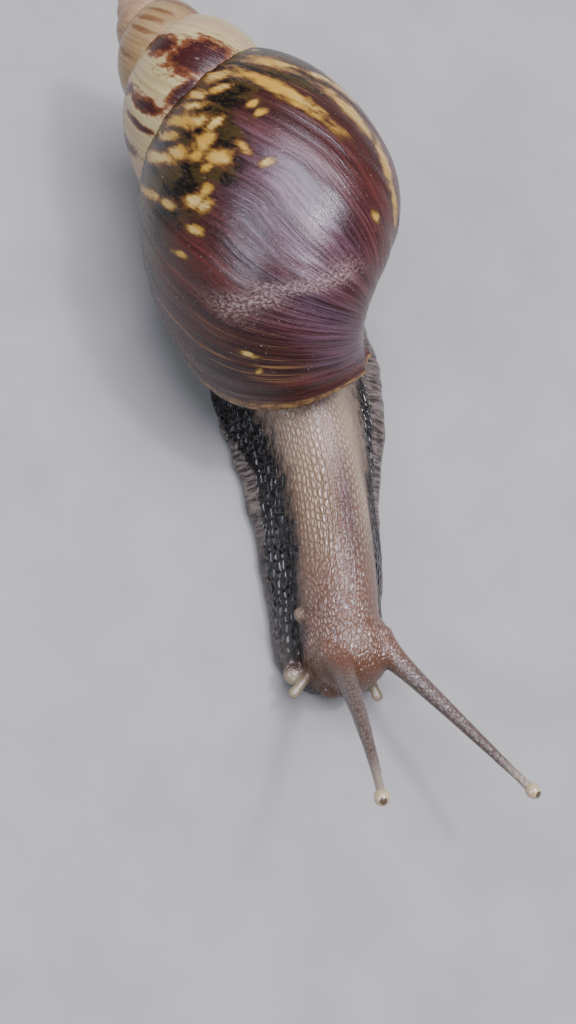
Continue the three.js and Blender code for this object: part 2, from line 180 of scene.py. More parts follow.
# Growth before the lip, distance from the suture, half length along the growth, half width across
# it, and how far the mark leans forward for each millimetre from the suture.
YELLOW_MARKS = [
    (52.4, 10.5, 1.7, 8.6, -0.12), (50.3, 2.6, 2.6, 2.0, 0.5),
    (58.0, 17.0, 1.9, 5.4, -0.2), (54.9, 24.5, 1.8, 5.2, -0.75), (49.9, 31.5, 1.4, 5.6, -0.65),
    (58.8, 6.0, 2.3, 3.6, 0.1), (47.2, 10.3, 1.5, 0.6, 0.0), (46.2, 12.0, 1.5, 0.6, 0.0),
    (44.6, 2.6, 1.7, 1.9, 0.4), (47.3, 5.0, 1.6, 1.3, 0.6), (41.3, 9.1, 1.9, 0.8, 0.0),
    (37.5, 10.0, 2.3, 1.3, 0.0), (37.1, 13.1, 1.7, 1.8, 0.0), (38.9, 5.0, 1.9, 4.2, 0.6),
    (33.8, 8.0, 1.7, 2.2, 0.4), (30.2, 5.0, 1.6, 4.8, 0.75), (26.4, 11.5, 0.9, 1.6, 0.2),
    (34.6, 4.0, 1.3, 2.6, 0.6), (42.0, 4.0, 1.3, 2.2, 0.6), (35.4, 10.6, 1.2, 1.1, 0.0),
    (29.4, 14.3, 1.7, 1.1, 0.4), (31.6, 14.7, 1.4, 0.9, 0.0), (29.7, 16.0, 1.4, 0.9, 0.0),
    (26.0, 17.0, 0.9, 1.4, 0.2), (21.4, 17.0, 0.6, 1.3, 0.3), (40.2, 14.1, 0.8, 1.2, -0.3),
    (39.9, 17.3, 1.3, 0.6, 0.3), (34.6, 12.8, 0.9, 0.7, 0.0), (24.0, 7.0, 1.0, 4.0, 0.7),
    (12.4, 31.4, 0.6, 1.9, -0.1), (9.2, 34.6, 0.8, 0.7, 0.0), (43.0, 31.0, 1.0, 1.3, -0.3),
]
BROWN_FLAMES = [
    (153.6, 9.4, 4.6, 3.8, 0.0), (153.2, 3.0, 2.4, 3.8, 0.0), (141.6, 2.4, 1.4, 2.8, 0.6),
    (139.4, 9.2, 0.6, 3.2, 0.0), (142.8, 8.8, 1.2, 3.0, 0.0), (147.0, 11.8, 3.0, 1.0, 0.0),
    (214.0, 4.0, 0.45, 2.6, 0.0), (218.8, 4.4, 0.45, 2.8, 0.0), (221.2, 3.8, 0.6, 2.8, 0.1),
    (223.6, 4.0, 0.45, 2.4, 0.0), (219.8, 9.4, 3.4, 1.6, 0.0),
]
# Stretches of growth whose flames are all in the list above.
LISTED_FLAMES = ((136, 174), (206, 228))
# Growth and distance from the suture along the rubbed band.
WORN_BAND = [(17.5, 26.0), (22.0, 27.5), (26.0, 31.5), (32.0, 36.0)]


# ---- settings

def linear(colour):
    """sRGB hex, such as "#804020", as linear red, green, blue and alpha."""
    channels = [int(colour[i:i + 2], 16) / 255 for i in (1, 3, 5)]
    curve = [c / 12.92 if c <= 0.04045 else ((c + 0.055) / 1.055) ** 2.4 for c in channels]
    return (*curve, 1.0)


class SnailShell(PropertyGroup):
    """Sizes and main colours of the shell."""
    row_step: FloatProperty(
        name="Row step", description="Distance between growth rows of the mesh, in millimetres",
        default=0.5, min=0.2, max=3.0)
    columns: IntProperty(
        name="Columns", description="Points from the suture to the base", default=108, min=12)
    wall: FloatProperty(
        name="Wall", description="Thickness of the lip, in millimetres", default=0.9, min=0.3)
    seed: IntProperty(name="Seed", description="Draws the marks out of the camera's sight", default=7)
    ground: FloatVectorProperty(
        name="Ground", description="Colour of the last whorl's lighter streaks",
        default=linear("#552720"), size=4, subtype="COLOR")
    flame: FloatVectorProperty(
        name="Flame", description="Colour in the middle of the yellow marks",
        default=linear("#a88131"), size=4, subtype="COLOR")


class SnailSkin(PropertyGroup):
    """Sizes and main colour of the soft body."""
    voxel: FloatProperty(
        name="Voxel", description="Size of the skin's faces, in millimetres",
        default=0.39, min=0.2, max=2.0)
    smoothing: IntProperty(
        name="Smoothing", description="Rounds of smoothing that blend the joins", default=8, min=0)
    row_width: FloatProperty(
        name="Row width", description="Width of the neck's rows of tubercles, in millimetres",
        default=0.86, min=0.2)
    bead: FloatProperty(
        name="Bead", description="Size of the flank's tubercles, in millimetres", default=1.45, min=0.2)
    back: FloatVectorProperty(
        name="Back", description="Colour of the neck's lighter parts",
        default=linear("#896b4e"), size=4, subtype="COLOR")


class SnailStudio(PropertyGroup):
    """Floor, lights and camera."""
    view_angle: FloatProperty(
        name="View angle", description="Angle across the frame's long side",
        default=math.radians(46.0), subtype="ANGLE")
    height: FloatProperty(
        name="Camera height", description="Height above the floor", default=0.1835, unit="LENGTH")
    sky: FloatProperty(name="Sky", description="Strength of the overcast light", default=0.15)
    board: FloatVectorProperty(
        name="Board", description="Colour of the floor's lighter parts",
        default=linear("#95938e"), size=4, subtype="COLOR")


# ---- small tools

def smoothstep(low, high, value):
    """0 below low, 1 above high, and an S-curve between."""
    share = np.clip((value - low) / (high - low), 0.0, 1.0)
    return share * share * (3.0 - 2.0 * share)


def unit(vectors):
    """Vectors divided by their lengths."""
    return vectors / np.linalg.norm(vectors, axis=-1, keepdims=True)


def bell(value, centre, width):
    """1 at the centre, falling to a third at one width from it."""
    return np.exp(-((value - centre) / width) ** 2)


def value_noise(x, y, seed):
    """Smooth noise from -1 to 1: a table of random numbers read between its four nearest."""
    table = np.random.default_rng(seed).uniform(-1.0, 1.0, (256, 256))
    column, row = np.floor(x).astype(int), np.floor(y).astype(int)
    across, down = x - column, y - row
    across, down = across * across * (3 - 2 * across), down * down * (3 - 2 * down)
    near, far = (table[line % 256, column % 256] * (1 - across)
                 + table[line % 256, (column + 1) % 256] * across for line in (row, row + 1))
    return near * (1 - down) + far * down


def curve_through(points, places):
    """Smooth curve through points at whole-number places: a cubic with central slopes."""
    last = len(points) - 1
    places = np.clip(places, 0, last)
    low = np.minimum(places.astype(int), last - 1)
    share = (places - low)[:, None]
    slopes = np.gradient(points, axis=0)
    square, cube = share ** 2, share ** 3
    return ((2 * cube - 3 * square + 1) * points[low] + (cube - 2 * square + share) * slopes[low]
            + (3 * square - 2 * cube) * points[low + 1] + (cube - square) * slopes[low + 1])


def grid_faces(rows, columns, closed):
    """Faces of a grid of points as four-number rows; closed joins the last column to the first."""
    wide = columns if closed else columns - 1
    row, column = np.meshgrid(np.arange(rows - 1), np.arange(wide), indexing="ij")
    after = (column + 1) % columns
    quads = [row * columns + column, row * columns + after,
             (row + 1) * columns + after, (row + 1) * columns + column]
    return np.stack(quads, -1).reshape(-1, 4)


def closed_loft(rings):
    """Points and faces of a row of closed rings, shut at both ends by fans."""
    rows, columns = rings.shape[:2]
    points = np.concatenate([rings.reshape(-1, 3), rings[[0]].mean(1), rings[[-1]].mean(1)])
    ring = np.arange(columns)
    after = (ring + 1) % columns
    end = (rows - 1) * columns
    first, last = np.full(columns, rows * columns), np.full(columns, rows * columns + 1)
    faces = grid_faces(rows, columns, closed=True).tolist()
    faces += np.stack([first, after, ring], 1).tolist()
    faces += np.stack([last, end + ring, end + after], 1).tolist()
    return points, faces


def linked(name, data):
    """An object of a mesh, lamp or camera, in the scene."""
    holder = bpy.data.objects.new(name, data)
    bpy.context.scene.collection.objects.link(holder)
    return holder


def new_object(name, points, faces):
    """A mesh object from points in millimetres in the animal's plan and rows of faces."""
    mesh = bpy.data.meshes.new(name)
    placed = (np.asarray(points).reshape(-1, 3) - PLAN_MIDDLE) * MM
    mesh.from_pydata(placed.tolist(), [], [list(face) for face in faces])
    mesh.update()
    return linked(name, mesh)


def store(piece, name, *fields):
    """Keeps one number, or three as a vector, for each vertex."""
    values = np.stack([np.broadcast_to(field, fields[0].shape) for field in fields], -1)
    kind, key = ("FLOAT", "value") if len(fields) == 1 else ("FLOAT_VECTOR", "vector")
    attribute = piece.data.attributes.new(name, kind, "POINT")
    attribute.data.foreach_set(key, np.ascontiguousarray(values, dtype=np.float32).ravel())


def vertices(mesh):
    """A mesh's vertices as rows of x, y, z."""
    flat = np.empty(len(mesh.vertices) * 3, dtype=np.float32)
    mesh.vertices.foreach_get("co", flat)
    return flat.reshape(-1, 3).astype(float)


def dress(piece, material, nodes):
    """Gives a finished piece smooth faces, its material and body, and hides the nodes it stands for."""
    mesh = piece.data
    mesh.polygons.foreach_set("use_smooth", np.ones(len(mesh.polygons), dtype=bool))
    mesh.update()
    mesh.materials.clear()
    mesh.materials.append(material)
    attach(piece, "root")
    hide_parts(*nodes)


# ---- material tools

# Kinds of node by short names: type, usual settings, the inputs that sources go to in turn, and the
# main output, or None for all of them. A ramp goes from 0 to 1, or from its fourth source to its
# fifth, as its first goes from the second to the third.
KINDS = {
    "number": ("Attribute", {}, (), "Fac"),
    "vector": ("Attribute", {}, (), "Vector"),
    "object": ("TexCoord", {}, (), "Object"),
    "parts": ("SeparateXYZ", {}, (0,), None),
    "whole": ("CombineXYZ", {}, (0, 1), 0),
    "scaled": ("VectorMath", {"operation": "MULTIPLY"}, (0, 1), 0),
    "plus": ("Math", {"operation": "ADD"}, (0, 1), 0),
    "minus": ("Math", {"operation": "SUBTRACT"}, (0, 1), 0),
    "times": ("Math", {"operation": "MULTIPLY"}, (0, 1), 0),
    "floor": ("Math", {"operation": "FLOOR"}, (0,), 0),
    "pingpong": ("Math", {"operation": "PINGPONG"}, (0, 1), 0),
    "ramp": ("MapRange", {"interpolation_type": "SMOOTHSTEP"}, (0, 1, 2, 3, 4), 0),
    "mix": ("Mix", {"data_type": "RGBA"}, (0, 6, 7), 2),
    "layer": ("Mix", {}, (0, 2, 3), 0),
    "noise": ("TexNoise", {"Scale": 1.0, "Detail": 3.0, "Roughness": 0.55}, (0,), 0),
    "gap": ("TexVoronoi", {"feature": "DISTANCE_TO_EDGE", "Scale": 1.0}, (0,), "Distance"),
    "bump": ("Bump", {}, ("Height", "Normal"), 0),
    "shader": ("BsdfPrincipled", {}, (), 0),
    "surface": ("OutputMaterial", {}, (0,), None),
    "glow": ("Background", {}, (), 0),
    "world": ("OutputWorld", {}, (0,), None),
}


def add_node(tree, kind, *sources, **settings):
    """Adds a node of one of the KINDS and gives its output.

    A source or setting may be a socket, which is linked, a value, or a hex colour. A setting's name
    is that of one of the node's fields or, failing that, of one of its inputs.
    """
    node_type, usual, inputs, output = KINDS[kind]
    node = tree.nodes.new("ShaderNode" + node_type)
    for key, value in [*usual.items(), *settings.items(), *zip(inputs, sources)]:
        if isinstance(value, bpy.types.NodeSocket):
            tree.links.new(value, node.inputs[key])
        elif isinstance(key, str) and hasattr(node, key):
            setattr(node, key, value)
        else:
            node.inputs[key].default_value = linear(value) if isinstance(value, str) else value
    return node.outputs if output is None else node.outputs[output]


def blank_material(name):
    """A material without nodes, and the function that adds nodes to it."""
    material = bpy.data.materials.new(name)
    material.use_nodes = True
    material.node_tree.nodes.clear()
    return material, partial(add_node, material.node_tree)


def stored(add, name):
    """A vertex vector and its three numbers."""
    vector = add("vector", attribute_name=name)
    return vector, add("parts", vector)


def cells(add, vector, randomness, dimensions="3D"):
    """Rounded cells of about one unit, 0 in the groove between two and 1 on top of each."""
    gap = add("gap", vector, voronoi_dimensions=dimensions, Randomness=randomness)
    return add("ramp", gap, -0.05, 0.45)


def paint(add, source, low, high, under, over, share=1.0):
    """Lays a colour over another, up to a share, as a source rises from low to high."""
    return add("mix", add("ramp", source, low, high, 0.0, share), under, over)


def per(sizes):
    """Scales that make a pattern's cells these sizes."""
    return tuple(1 / size for size in sizes)


# ---- materials

def shell_material(settings):
    """Snail shell: lime under a thin horny skin, laid down in streaks along the growing edge.

    It gives a dark maroon gloss with ochre flames near the suture, cream upper whorls with
    red-brown flames, a rubbed band, and a tan edge at the lip.
    """
    material, add = blank_material("aragonite_shell_periostracum")
    growth, (age, _, turns) = stored(add, "growth")
    _, (mark, worn, upper) = stored(add, "marks")
    _, (suture, gloom, painted_sheen) = stored(add, "zones")

    # Growth streaks are 0.7 to 3.6 mm wide and run 16 to 29 mm from the suture to the base.
    fine = add("noise", add("scaled", growth, (1.5, 0.06, 0.0)), Detail=4.0, Roughness=0.7)
    broad = add("noise", add("scaled", growth, (0.28, 0.04, 0.0)))
    ragged = add("noise", add("scaled", growth, (0.8, 0.45, 0.0)), Detail=4.0, Roughness=0.6)
    speck = add("noise", add("scaled", growth, (2.2, 1.7, 0.0)), Detail=4.0, Roughness=0.7)
    threads = add("noise", add("scaled", growth, (1.2, 0.035, 0.0)), Detail=2.0, Roughness=0.8)
    level = add("plus", mark, add("times", add("minus", ragged, 0.5), 2.2))

    # Ground of the last whorl: maroon streaks under a painted lilac sheen of the sky's reflection, near
    # black with tan threads.
    maroon = paint(add, broad, 0.35, 0.65, "#3a1812", settings.ground)
    maroon = paint(add, fine, 0.40, 0.60, maroon, "#260f10", 0.8)
    # Painted sheen: the sky's lilac reflection laid into the colour, broken up along the growth streaks.
    sheen_share = add("times", painted_sheen, add("ramp", fine, 0.36, 0.60, 0.5, 0.05))
    maroon = add("mix", sheen_share, maroon, "#65586b")
    black = paint(add, fine, 0.45, 0.62, "#3a1b16", "#180c09")
    black = paint(add, threads, 0.58, 0.64, black, "#7d6038", 0.8)
    dark = add("mix", gloom, maroon, black)

    # Near its suture: ochre flames with brown edges on olive black.
    stripe = add("noise", add("scaled", growth, (0.40, 0.20, 0.0)), Distortion=0.5)
    olive = paint(add, stripe, 0.44, 0.58, "#0c0804", "#362a11")
    olive = paint(add, speck, 0.52, 0.72, olive, "#523c17", 0.6)
    banded = add("mix", suture, dark, olive)
    core = paint(add, broad, 0.42, 0.60, settings.flame, "#b49d60")
    amber = paint(add, level, 0.15, 0.70, "#7d5d24", core)
    amber = paint(add, speck, 0.45, 0.75, amber, "#7e6230", 0.6)
    amber = paint(add, level, -0.15, 0.40, "#432815", amber)
    body = paint(add, level, -0.45, 0.05, banded, amber)

    # Upper whorls: cream with rust flames, then buff, then pink-brown at the tip.
    cream = paint(add, fine, 0.38, 0.66, "#a99a6c", "#8e7f57")
    cream = paint(add, broad, 0.45, 0.65, cream, "#a58468", 0.8)
    rust = paint(add, level, 0.0, 0.5, "#65391f", "#331413")
    whorls = paint(add, level, -0.35, 0.1, cream, rust)
    buff = paint(add, fine, 0.4, 0.6, "#7d6540", "#8f7553")
    buff = paint(add, level, -0.35, 0.35, buff, "#5a3622", 0.7)
    spire = paint(add, turns, 2.7, 3.6, buff, "#94775f")
    whorls = paint(add, turns, 1.92, 2.12, whorls, spire)
    colour = add("mix", upper, body, whorls)

    # The rubbed band, small scratches, the lip's tan edge and the grey inside of the wall.
    rubbed = add("times", worn, add("ramp", speck, 0.46, 0.58, 0.1, 1.0))
    colour = add("mix", rubbed, colour, "#86706a")
    scratch = add("noise", add("scaled", growth, (2.6, 0.9, 0.0)), Detail=2.0, Roughness=0.9)
    colour = paint(add, scratch, 0.695, 0.72, colour, "#b4a792", 0.6)
    lip = paint(add, ragged, 0.4, 0.6, "#8f6c3f", "#553b22")
    colour = paint(add, age, 1.9, 0.9, colour, lip)
    colour = paint(add, age, -1.2, -1.8, colour, "#a79aa0")

    # Growth ridges of about 0.1 mm under a thin, slightly worn gloss.
    bumps = add("bump", fine, Strength=0.5, Distance=0.00022)
    bumps = add("bump", speck, bumps, Strength=0.3, Distance=0.00012)
    rough = add("plus", add("ramp", speck, 0.3, 0.7, 0.22, 0.36), add("times", worn, 0.2))
    shader = add("shader", **{
        "Base Color": colour, "Roughness": rough, "IOR": 1.42, "Normal": bumps,
        "Coat Weight": 0.2, "Coat Roughness": 0.06, "Coat Normal": bumps})
    add("surface", shader)
    return material


def skin_material(settings):
    """Snail skin: wet, slimy and beaded with tubercles, in long rows on the neck.

    It gives a mauve-brown back, paler bands beside it, black beaded flanks and a wrinkled foot
    edge, all with small sharp glints.
    """
    material, add = blank_material("wet_mollusc_skin")
    lie, (along, across, _) = stored(add, "lie")
    stalk, (reach, _, _) = stored(add, "stalk")
    _, (fringe, flank, feeler) = stored(add, "zones")
    _, (median, pale, head) = stored(add, "tints")
    _, (painted_shade, tips, coarse) = stored(add, "shades")
    front = add("number", attribute_name="lobe")
    place = add("scaled", add("object"), (1 / MM,) * 3)

    # Rows of long tubercles on the neck, bent a little by a slow noise, each row set off along
    # the body from the one beside it.
    wander = add("noise", add("scaled", lie, (0.16, 0.3, 0.0)), Detail=2.0)
    row = add("plus", add("times", across, 1 / settings.row_width), add("times", wander, 1.4))
    stagger = add("times", add("floor", row), 0.38)
    bead = add("plus", add("times", along, 1 / NECK_CELL), stagger)
    bent = add("whole", bead, row)
    lines = add("pingpong", row, 0.5)
    rows = add("times", cells(add, bent, 0.5, "2D"), add("ramp", lines, -0.02, 0.24))
    # Head and tentacles: small cells, longer along the body or the tentacle.
    small = cells(add, add("scaled", place, per(HEAD_CELL)), 0.9)
    stalks = cells(add, add("scaled", stalk, per(TENTACLE_CELL)), 0.85)
    # Flanks and tail: polygons of about the bead's size.
    large = cells(add, add("scaled", lie, (1 / settings.bead, 1.2 / settings.bead, 0.0)), 0.85, "2D")
    # Wrinkles of the foot's edge run across it, about 0.6 mm apart.
    wrinkle = add("noise", add("scaled", lie, (1.7, 0.3, 0.3)), Roughness=0.6)
    grain = add("noise", add("scaled", place, (2.4,) * 3), Detail=4.0, Roughness=0.65)

    # Each zone's relief lies over the ones before it. The pale tips are smooth.
    relief = add("times", rows, add("ramp", along, 22.0, 48.0, *NECK_RELIEF))
    relief = add("layer", head, relief, add("times", small, HEAD_RELIEF))
    relief = add("layer", coarse, relief, add("times", large, FLANK_RELIEF))
    relief = add("layer", fringe, relief, add("times", wrinkle, EDGE_RELIEF))
    relief = add("layer", feeler, relief, add("times", stalks, TENTACLE_RELIEF))
    relief = add("times", relief, add("minus", 1.0, tips))
    relief = add("plus", relief, add("times", grain, GRAIN_RELIEF))

    # Neck: tan with a mauve line along the back, paler bands, painted light towards the shell where the
    # shell's lip
    #     # shades it, and dark grooves. Tail: darker.
    tan = paint(add, grain, 0.35, 0.65, "#6f543d", settings.back)
    mauve = paint(add, grain, 0.35, 0.65, "#543c3b", "#674d4a")
    colour = add("mix", median, tan, mauve)
    # Painted light: the neck lightened towards the shell, against the shade under the shell's lip.
    colour = paint(add, along, 26.0, 40.0, colour, "#b7a08a", 0.55)
    colour = add("mix", pale, colour, "#a88f70")
    grooves = add("times", add("ramp", rows, 0.05, 0.5, 1.0, 0.0),
                  add("ramp", along, 22.0, 48.0, 0.55, 0.35))
    colour = add("mix", grooves, colour, "#3f2a20")
    colour = paint(add, along, 66.0, 100.0, colour, "#4b3a2f", 0.7)
    # Head, black flanks, painted shade in the crease above the foot's lobe and down the neck's sides, the
    # foot's edge, tentacles, pale tips.
    rosy = paint(add, small, 0.0, 0.5, "#553c2f", "#785b4a")
    rosy = paint(add, along, 6.0, 1.0, rosy, "#543523", 0.7)
    colour = add("mix", head, colour, rosy)
    black = paint(add, large, 0.1, 0.8, "#040404", "#171413")
    black = add("mix", front, black, "#4a433d")
    colour = add("mix", flank, colour, black)
    # Painted shade: the crease above the foot's lobe and the neck's sides darkened where shade falls.
    colour = add("mix", painted_shade, colour, "#0d0907")
    rim = paint(add, wrinkle, 0.36, 0.62, "#2a2422", "#6c6058")
    rim = paint(add, along, 34.0, 20.0, rim, "#1c1716", 0.6)
    colour = add("mix", fringe, colour, rim)
    horn = paint(add, stalks, 0.0, 0.5, "#483b35", "#63554b")
    horn = paint(add, reach, 24.0, 31.0, horn, "#8a7c6b")
    colour = add("mix", feeler, colour, horn)
    colour = add("mix", tips, colour, "#82755e")

    bumps = add("bump", relief, Strength=1.0, Distance=MM)
    # Slime gives a low, uneven roughness and a second clear layer.
    rough = add("ramp", grain, 0.3, 0.7, 0.24, 0.36)
    shader = add("shader", **{
        "Base Color": colour, "Roughness": rough, "IOR": 1.4, "Normal": bumps,
        "Coat Weight": 0.42, "Coat Roughness": 0.1, "Coat Normal": bumps, "Subsurface Weight": 0.08,
        "Subsurface Radius": (0.0012, 0.0006, 0.0004), "Subsurface Scale": 1.0})
    add("surface", shader)
    return material


def bulb_material():
    """The tip of an eye tentacle: clear wet skin over the eye, beige with a dark brown centre."""
    material, add = blank_material("translucent_eye_bulb")
    dark = add("number", attribute_name="pupil")
    place = add("scaled", add("object"), per((0.4 * MM,) * 3))
    beige = paint(add, add("noise", place), 0.3, 0.7, "#a08d6b", "#b5a480")
    colour = add("mix", dark, beige, "#2c221b")
    shader = add("shader", **{
        "Base Color": colour, "Roughness": 0.18, "IOR": 1.38,
        "Coat Weight": 0.6, "Coat Roughness": 0.06, "Subsurface Weight": 0.2,
        "Subsurface Radius": (0.001, 0.0006, 0.0004), "Subsurface Scale": 1.0})
    add("surface", shader)
    return material


def floor_material(settings):
    """Painted board: a pale matt studio floor with a faint cloudiness of about 17 mm."""
    material, add = blank_material("pale_painted_board")
    grain = add("noise", add("scaled", add("object"), (60.0,) * 3))
    colour = paint(add, grain, 0.3, 0.7, "#8e8c87", settings.board)
    shader = add("shader", **{"Base Color": colour, "Roughness": 0.85})
    add("surface", shader)
    return material


# ---- shell

def shell_axes():
    """Columns: towards the lip, across it, and up the spire's axis."""
    axis = np.array([
        math.cos(SPIRE_ELEVATION) * math.cos(SPIRE_AZIMUTH),
        math.cos(SPIRE_ELEVATION) * math.sin(SPIRE_AZIMUTH),
        math.sin(SPIRE_ELEVATION),
    ])
    level = unit(np.cross(axis, (0.0, 0.0, 1.0)))
    steep = np.cross(level, axis)
    lip = level * math.cos(LIP_ROLL) + steep * math.sin(LIP_ROLL)
    return np.stack([lip, np.cross(axis, lip), axis], 1)


def section(angle):
    """Radius and depth of the whorl's section, in radii: a half ellipse above its widest line
    and a squarer half below it."""
    cosine, sine = np.cos(angle), np.sin(angle)
    power = np.where(sine > 0, 2 / SQUARENESS, 1.0)
    radius = INNER_SHARE + (1 - INNER_SHARE) * np.abs(cosine) ** power
    lower = LOWER_BULGE * np.abs(sine) ** power
    return radius, SECTION_PEAK + np.where(sine > 0, lower, UPPER_BULGE * sine)


def shell_points(turns, across, grow):
    """Points of the whorls' outer side. The section shrinks by fixed ratios in each turn back from
    the lip, winds round the spire's axis, and lags more the nearer it is to the base. across runs
    from the suture (0) to the base (1), and on to the axis (up to 1.2)."""
    share = np.minimum(across, 1.0)
    angle = SUTURE_ANGLE + (math.pi / 2 - SUTURE_ANGLE) * share
    radius, depth = section(angle)
    near, far = section(np.minimum(angle + 0.01, math.pi / 2)), section(angle - 0.01)
    normal = unit(np.stack([near[1] - far[1], far[0] - near[0]], -1))
    inward = np.clip((across - 1.0) / 0.2, 0.0, 1.0)
    radius = radius * (1 - inward) + 0.01 * inward
    depth = depth - 0.10 * np.sin(inward * math.pi / 2)
    age = turns + LIP_LEAN * share ** LIP_POWER
    out = SHELL_RADIUS * RADIAL_RATIO ** -age * radius + grow * normal[..., 0] * (1 - inward)
    down = SHELL_RADIUS * AXIAL_RATIO ** -age * depth + grow * normal[..., 1]
    turn = 2 * math.pi * age
    local = np.stack([out * np.cos(turn), out * np.sin(turn), -down], -1)
    return APEX + local @ shell_axes().T


def turns_back(grown):
    """Turns back from the lip at a growth distance: the length of a logarithmic spiral, solved for
    its turns."""
    return -np.log(1 - grown / SPIRAL_LENGTH) / math.log(RADIAL_RATIO)


def shell_relief(grown, across):
    """Height of the growth ridges in millimetres: fine and broad ripples along the growth, that
    wander a little from suture to base, and two old lips."""
    fine = value_noise(grown / 1.1, across * 5.0, 11)
    broad = value_noise(grown / 4.5, across * 3.0, 12)
    return 0.07 * fine + 0.14 * broad + 0.12 * (bell(grown, 6.3, 0.8) + bell(grown, 50.4, 0.9))


def mark_level(grown, down, marks):
    """Highest level over elliptical marks: 1 at a mark's centre, 0 at its edge, down to -1."""
    level = np.full(grown.shape, -1.0)
    for centre, depth, length, width, lean in marks:
        ahead = (grown - centre - lean * (down - depth)) / length
        level = np.maximum(level, 1.0 - np.hypot(ahead, (down - depth) / width))
    return level


def hidden_marks(seed):
    """Marks for the sides that the lists leave out: yellow ones near the last whorl's suture,
    with a long streak every 17 mm, and brown flames on the whorls above."""
    rng = np.random.default_rng(seed)
    marks = [(place, 9.0, 1.4, 9.0, -0.12) for place in (72.0, 89.0, 106.0)]
    for _ in range(56):
        marks.append((rng.uniform(61, 122), rng.uniform(1, 17), rng.uniform(0.6, 1.9),
                      rng.uniform(0.6, 2.2), rng.uniform(0.0, 0.6)))
    flames = []
    for turns in np.arange(0.98, 4.6, 0.085):
        scale = RADIAL_RATIO ** -turns
        grown = SPIRAL_LENGTH * (1 - scale) + rng.uniform(-2, 2) * scale
        if any(low < grown < high for low, high in LISTED_FLAMES):
            continue
        height = 24.0 * scale
        flames.append((grown, height * rng.uniform(0.3, 0.8), rng.uniform(1.2, 4.5) * scale,
                       height * rng.uniform(0.2, 0.6), 0.2))
    return marks, flames


def make_shell(settings):
    """The shell as one sheet: up the inside of the last whorl's wall, round the lip, and back
    along the outside to the apex."""
    reach = SPIRAL_LENGTH * (1 - RADIAL_RATIO ** -LAST_TURN)
    across = np.concatenate([np.linspace(0, 1, settings.columns), np.linspace(1.04, 1.2, 5)])

    grown, outer_across = np.meshgrid(np.arange(0.0, reach, settings.row_step), across, indexing="ij")
    turns = turns_back(grown)
    relief = shell_relief(grown, outer_across) * smoothstep(0.0, 1.2, grown) * RADIAL_RATIO ** -turns
    outer = shell_points(turns, outer_across, relief)

    inner, inner_across = np.meshgrid(np.arange(INSIDE_DEPTH, 0.6, -0.8), across, indexing="ij")
    inside = shell_points(turns_back(inner), inner_across, np.full_like(inner, -settings.wall))

    bend, rim_across = np.meshgrid(np.radians([-60.0, -20.0, 20.0, 60.0]), across, indexing="ij")
    rim_turns = turns_back(-0.45 * settings.wall * np.cos(bend))
    rim = shell_points(rim_turns, rim_across, settings.wall * (0.5 * np.sin(bend) - 0.5))

    sheet = np.concatenate([inside, rim, outer])
    dome_points, dome_faces = ellipsoid((0, 0, -DOME_DEPTH), DOME_RADII, 20, 30)
    dome = (APEX + dome_points @ shell_axes().T, dome_faces)
    faces = grid_faces(*sheet.shape[:2], closed=False).tolist()
    piece = new_object("shell", *joined([(sheet.reshape(-1, 3), faces), dome]))
    grown = np.concatenate([np.full_like(inner, INSIDE_GROWTH), np.zeros_like(bend), grown])
    turns = np.concatenate([turns_back(inner), rim_turns, turns])
    crossing = np.broadcast_to(across, grown.shape)
    oldest = np.full(len(dome_points), LAST_TURN)
    mark_shell(piece, np.append(grown, np.full_like(oldest, reach)), np.append(turns, oldest),
               np.append(crossing, np.zeros_like(oldest)), settings.seed)
    return piece


def mark_shell(piece, grown, turns, across, seed):
    """Keeps each vertex's place on the growing shell, and its share of each mark and zone: the
    suture's band, the dark low left (gloom) and the painted lilac sheen where the sky's reflection falls."""
    down = across * SECTION_LENGTH * RADIAL_RATIO ** -turns
    lag = 0.40 * np.maximum(down - 20.0, 0.0) * smoothstep(14.0, 34.0, grown)
    store(piece, "growth", grown + lag, down, turns)

    yellow, flames = hidden_marks(seed)
    upper = smoothstep(0.88, 1.05, turns + 0.03 * value_noise(down / 1.5, grown / 3.0, 5))
    level = np.where(upper < 0.5, mark_level(grown, down, YELLOW_MARKS + yellow),
                     mark_level(grown, down, BROWN_FLAMES + flames))
    places, depths = np.transpose(WORN_BAND)
    middle = np.interp(grown, places, depths) + 1.2 * value_noise(grown / 2.0, 0 * grown, 6)
    worn = bell(down, middle, 2.6) * smoothstep(15.5, 19.0, grown) * smoothstep(36.0, 30.0, grown)
    store(piece, "marks", level, worn, upper)

    ragged = 2.0 * value_noise(grown / 2.5, down / 2.5, 8) + value_noise(grown, down, 9)
    depth = 15.5 - 5.0 * smoothstep(40.0, 44.0, grown) * smoothstep(58.0, 54.0, grown)
    suture = smoothstep(depth + 2.0, depth - 2.0, down + ragged)
    low_left = smoothstep(20.0, 11.0, grown + ragged) * smoothstep(46.0, 34.0, down)
    after_streak = bell(grown, 56.2 - 0.12 * down, 1.6) * smoothstep(30.0, 16.0, down)
    gloom = np.maximum(low_left, after_streak)
    # Painted sheen: a lobe across the last whorl where the sky's reflection falls, fading at both ends of
    # the growth.
    lobe = bell(down, 61.0 - grown + ragged, 10.0)
    painted_sheen = lobe * smoothstep(3.0, 10.0, grown) * smoothstep(48.0, 40.0, grown)
    store(piece, "zones", suture, gloom, painted_sheen)


# ---- soft body

def body_sizes(count):
    """The mid-line's points and sizes, and its leftward directions, evenly along STATIONS."""
    places = np.linspace(0, len(STATIONS) - 1, count)
    before, here, after = (curve_through(STATIONS, places + step) for step in (-0.05, 0.0, 0.05))
    ahead = unit(after[:, :2] - before[:, :2])
    return here, np.stack([ahead[:, 1], -ahead[:, 0]], 1)


